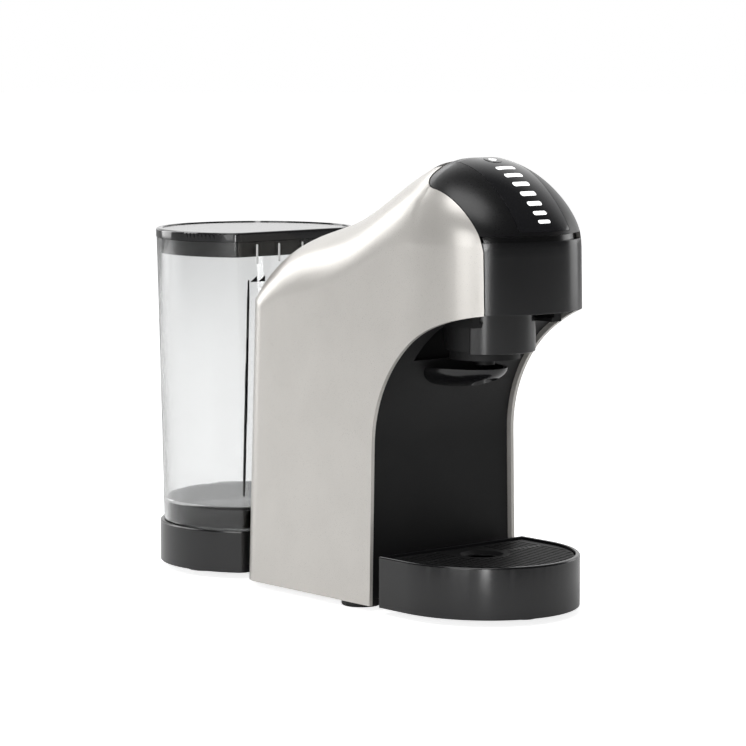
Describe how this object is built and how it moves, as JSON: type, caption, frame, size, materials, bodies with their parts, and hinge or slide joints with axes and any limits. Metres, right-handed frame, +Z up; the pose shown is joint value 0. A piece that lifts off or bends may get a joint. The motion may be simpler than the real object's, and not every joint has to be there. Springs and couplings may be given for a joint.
{
  "type": "pod coffee machine",
  "caption": "Capsule coffee machine with pearl side shells, black lever hood, capsule drawer, drip tray and a clear rear water tank.",
  "frame": {"origin": "centre of the overall footprint, on the table under the rubber feet", "axes": "X across, -Y towards the cup and the user, +Y towards the water tank, +Z up"},
  "size_m": [0.128, 0.3391, 0.2696],
  "materials": {
    "pearl": "pearl-white satin lacquer on moulded plastic",
    "hood_black": "semi-gloss black moulded plastic",
    "strip_gloss": "glossy black control strip",
    "satin_black": "satin black moulded plastic with a fine grain",
    "matte_black": "matt black moulded plastic",
    "light_bar": "white translucent light bar",
    "pcb_green": "solder-masked circuit board",
    "steel": "plain turned steel",
    "spring_steel": "drawn spring wire",
    "cast_aluminium": "as-cast aluminium",
    "zinc_sheet": "zinc-plated sheet",
    "silicone": "translucent silicone",
    "black_rubber": "black moulded rubber",
    "grey_nylon": "grey glass-filled nylon",
    "clear_tank": "clear moulded copolyester"
  },
  "bodies": {
    "base": {"left_side_shell": "pearl", "right_side_shell": "pearl", "rear_cover": "matte_black", "cord_gland": "black_rubber", "column_panel": "matte_black", "base_plate": "matte_black", "base_screws": "steel", "head_front_panel": "satin_black", "hinge_bracket": "matte_black", "hinge_pin": "steel", "brew_deck": "matte_black", "guide_pins": "steel", "return_springs": "spring_steel", "lower_jaw": "satin_black", "tank_dock": "satin_black", "dock_gasket": "black_rubber", "water_pump": "grey_nylon", "pump_mounts": "black_rubber", "pump_bracket": "zinc_sheet", "thermoblock": "cast_aluminium", "thermoblock_bracket": "zinc_sheet", "flow_meter": "grey_nylon", "power_board": "pcb_green", "suction_hose": "silicone", "feed_hose": "silicone", "pressure_hose": "silicone", "brew_hose": "silicone", "front_feet": "black_rubber", "rear_feet": "black_rubber"},
    "hood": {"lever_hood": "hood_black", "control_strip": "strip_gloss", "indicator_bars": "light_bar", "control_board": "pcb_green"},
    "button": {"start_button": "strip_gloss"},
    "piston": {"piercing_head": "matte_black", "piercing_needle": "steel", "head_seal": "silicone"},
    "holder": {"capsule_holder": "matte_black", "holder_front": "satin_black", "outlet_spout": "matte_black"},
    "tray": {"drip_tray": "satin_black", "tray_foot": "black_rubber"},
    "grate": {"drip_grate": "matte_black"},
    "tank": {"tank_body": "clear_tank", "tank_skirt_insert": "satin_black", "tank_valve_spring": "spring_steel"},
    "lid": {"tank_lid": "satin_black", "lid_band": "satin_black"},
    "valve": {"tank_valve": "grey_nylon"}
  },
  "joints": [
    {"name": "hood_lift", "type": "hinge", "parent": "base", "child": "hood", "pos_m": [0, -0.1015, 0.2642], "axis": [-1, 0, 0], "range_deg": [0, 65]},
    {"name": "button_press", "type": "slide", "parent": "hood", "child": "button", "axis": [0, 0, -1], "range_m": [0, 0.0012], "stiffness_N_per_m": 250},
    {"name": "piston_travel", "type": "slide", "parent": "base", "child": "piston", "axis": [0, 0, 1], "range_m": [0, 0.0072], "deforming": ["return_springs"]},
    {"name": "holder_slide", "type": "slide", "parent": "base", "child": "holder", "axis": [0, -1, 0], "range_m": [0, 0.062]},
    {"name": "tray_slide", "type": "slide", "parent": "base", "child": "tray", "axis": [0, -1, 0], "range_m": [0, 0.06]},
    {"name": "grate_lift", "type": "slide", "parent": "tray", "child": "grate", "axis": [0, 0, 1], "range_m": [0, 0.03]},
    {"name": "tank_lift", "type": "slide", "parent": "base", "child": "tank", "axis": [0, 0, 1], "range_m": [0, 0.05]},
    {"name": "lid_lift", "type": "slide", "parent": "tank", "child": "lid", "axis": [0, 0, 1], "range_m": [0, 0.04]},
    {"name": "valve_travel", "type": "slide", "parent": "tank", "child": "valve", "axis": [0, 0, 1], "range_m": [-0.0018, 0], "deforming": ["tank_valve_spring"]}
  ],
  "couplings": [
    {"joint": "piston_travel", "follows": "hood_lift", "m_per_rad": 0.0062}
  ]
}
